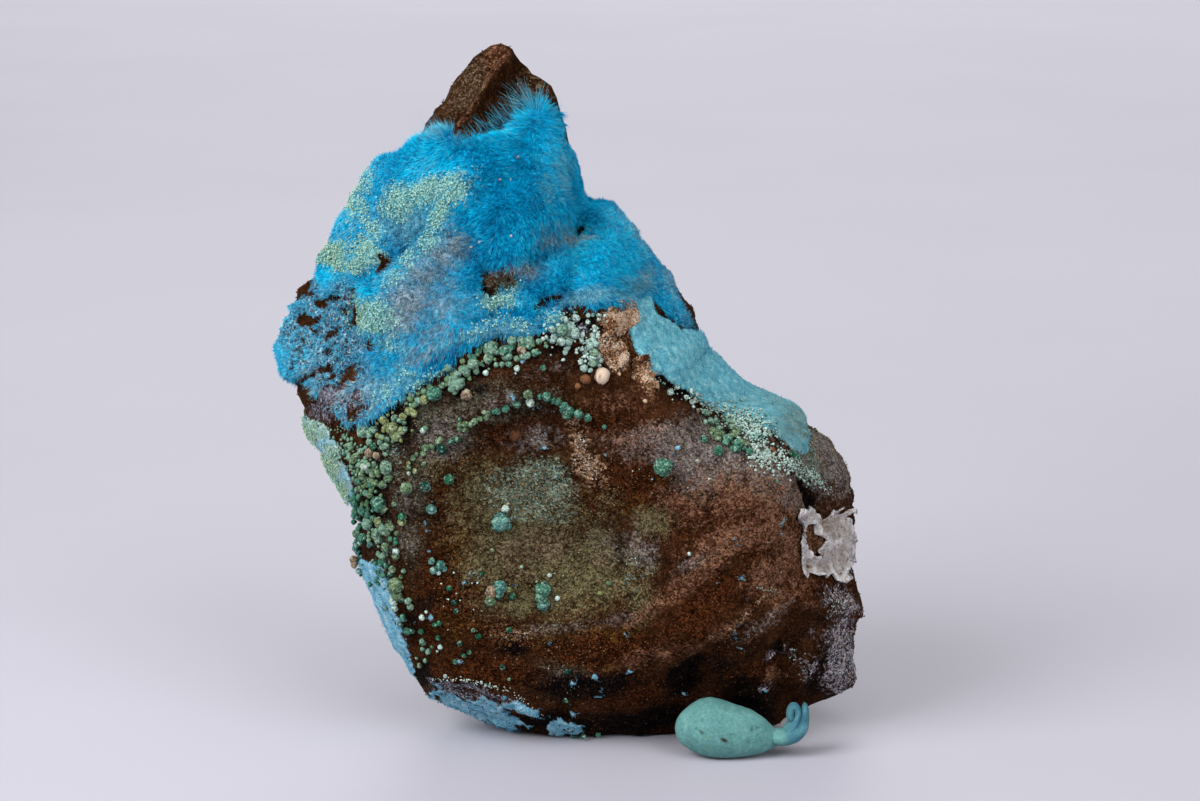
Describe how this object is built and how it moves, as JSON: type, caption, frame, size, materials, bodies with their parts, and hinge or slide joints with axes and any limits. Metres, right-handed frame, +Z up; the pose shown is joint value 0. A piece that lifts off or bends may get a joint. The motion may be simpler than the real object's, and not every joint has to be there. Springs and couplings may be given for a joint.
{
  "type": "cyanotrichite mineral specimen",
  "caption": "Brown rock face with a fuzzy blue cyanotrichite crust on its upper part, green carbonate spherules, and a pinch of teal mounting putty under its foot.",
  "frame": {"origin": "middle of the footprint box, on the surface that the specimen stands on", "axes": "+Z up through the tip; -Y out of the display face towards the viewer; +X to the viewer's right"},
  "size_m": [0.0414, 0.0206, 0.0485],
  "materials": {
    "rock": "rough broken iron-stained rock with a fine sugary crystal sparkle",
    "blue_velvet": "dense velvet of hair-fine blue needles",
    "turquoise_velvet": "short pale turquoise velvet, matt",
    "sky_blue_crust": "thin powdery sky-blue crust",
    "green_spherules": "small botryoidal balls, satin to matt",
    "mint_crust": "chalky pale green crust of tiny balls",
    "ochre_crust": "earthy tan to orange, matt",
    "old_adhesive": "dried grey-beige papery adhesive, wrinkled and peeling",
    "putty": "matt teal mounting putty with dust specks"
  },
  "bodies": {
    "root": {"host_rock": "rock", "velvet_cap": "blue_velvet", "velvet_band": "turquoise_velvet", "flank_crust": "sky_blue_crust", "foot_crust_left": "sky_blue_crust", "foot_crust_middle": "sky_blue_crust", "ochre_crust_upper": "ochre_crust", "ochre_crust_lower": "ochre_crust", "mint_tail": "mint_crust", "adhesive_patch": "old_adhesive", "spherule_chain": "green_spherules", "spherule_basin": "green_spherules", "spherule_lower_left": "green_spherules", "spherule_lower_right": "green_spherules", "spherule_flank": "green_spherules", "spherule_small_basin": "green_spherules", "spherule_disc": "green_spherules", "spherule_right_upper": "green_spherules", "spherule_right_lower": "green_spherules", "pebble_tan": "ochre_crust", "mounting_putty": "putty"}
  },
  "joints": []
}
